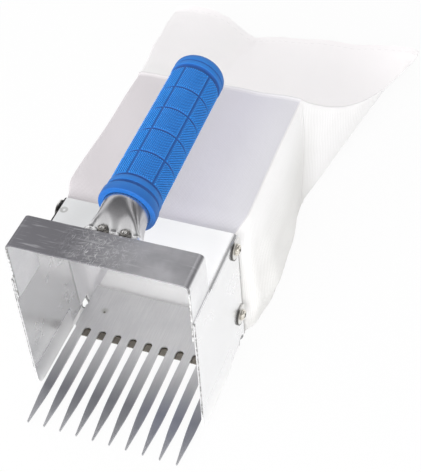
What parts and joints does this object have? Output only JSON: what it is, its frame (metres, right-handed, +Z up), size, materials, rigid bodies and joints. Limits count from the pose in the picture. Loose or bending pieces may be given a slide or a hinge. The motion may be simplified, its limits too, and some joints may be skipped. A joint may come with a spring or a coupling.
{
  "type": "berry picking rake",
  "caption": "Berry picking rake: a folded sheet steel scoop with a comb of pointed teeth, a hood band, a pressed tube handle with a moulded grip, and a trailing cloth bag.",
  "frame": {"origin": "middle of the scoop floor's underside, on the ground under the scoop", "axes": "+Z up; the comb's teeth point along -Y and the handle and the bag run along +Y; +X is the side on the right when looking along +Y"},
  "size_m": [0.224, 0.4357, 0.1541],
  "materials": {
    "shell": "cold rolled galvanised sheet, soft sheen",
    "hood": "plated sheet with fine scratches",
    "comb": "plated sheet, soft sheen",
    "tube": "plated tube, bright",
    "fastener": "zinc plated",
    "wire": "drawn wire",
    "grip": "moulded, diamond knurled panels",
    "cloth": "plain woven cloth"
  },
  "bodies": {
    "root": {"comb_plate": "comb", "scoop_shell": "shell", "hood_band": "hood", "handle_tube": "tube", "handle_grip": "grip", "handle_rivet_left": "fastener", "handle_rivet_right": "fastener", "bag_screw_lower_left": "fastener", "bag_washer_lower_left": "fastener", "bag_nut_lower_left": "fastener", "bag_frame_rod_lower_left": "wire", "bag_screw_upper_left": "fastener", "bag_washer_upper_left": "fastener", "bag_nut_upper_left": "fastener", "bag_frame_rod_upper_left": "wire", "bag_screw_lower_right": "fastener", "bag_washer_lower_right": "fastener", "bag_nut_lower_right": "fastener", "bag_frame_rod_lower_right": "wire", "bag_screw_upper_right": "fastener", "bag_washer_upper_right": "fastener", "bag_nut_upper_right": "fastener", "bag_frame_rod_upper_right": "wire", "bag_frame_hoop": "wire", "bag": "cloth"}
  },
  "joints": []
}
